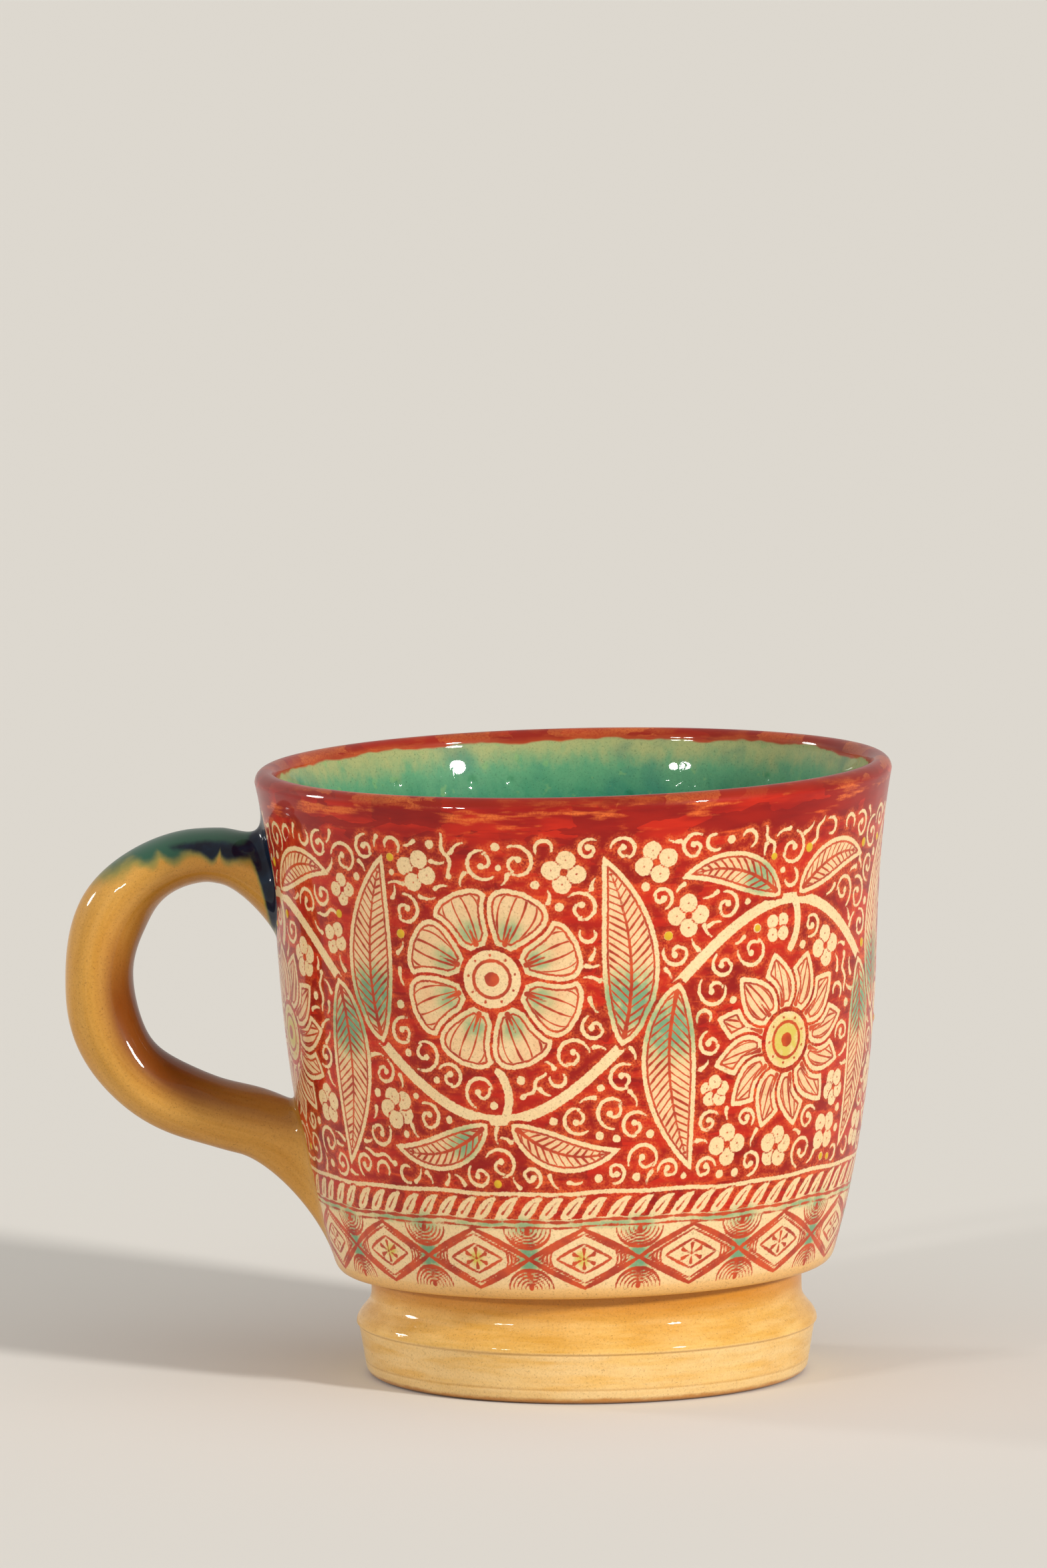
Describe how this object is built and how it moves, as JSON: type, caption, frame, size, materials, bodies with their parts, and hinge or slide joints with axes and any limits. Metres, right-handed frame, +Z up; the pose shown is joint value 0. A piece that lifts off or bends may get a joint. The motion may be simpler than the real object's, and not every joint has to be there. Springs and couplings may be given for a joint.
{
  "type": "mug",
  "caption": "Hand-thrown clay mug: flaring painted cup on a turned pedestal foot, green glazed inside, with a pulled loop handle.",
  "frame": {"origin": "centre of the foot's rest face, on the table plane", "axes": "+Z up through the cup's mouth, -X towards the handle, +Y away from the viewer of the pictured side"},
  "size_m": [0.1172, 0.09, 0.0876],
  "materials": {
    "painted_clay": "glossy clear glaze over red and cream brushwork",
    "honey_clay": "glossy clear glaze over bare honey-coloured clay",
    "dark_run": "glossy blue-black glaze run",
    "green_glaze": "glossy mottled green glaze"
  },
  "bodies": {
    "root": {"cup_body": "painted_clay", "foot_ring": "honey_clay", "handle": "honey_clay", "upper_collar": "dark_run", "lower_tongue": "honey_clay", "green_lining": "green_glaze"}
  },
  "joints": []
}
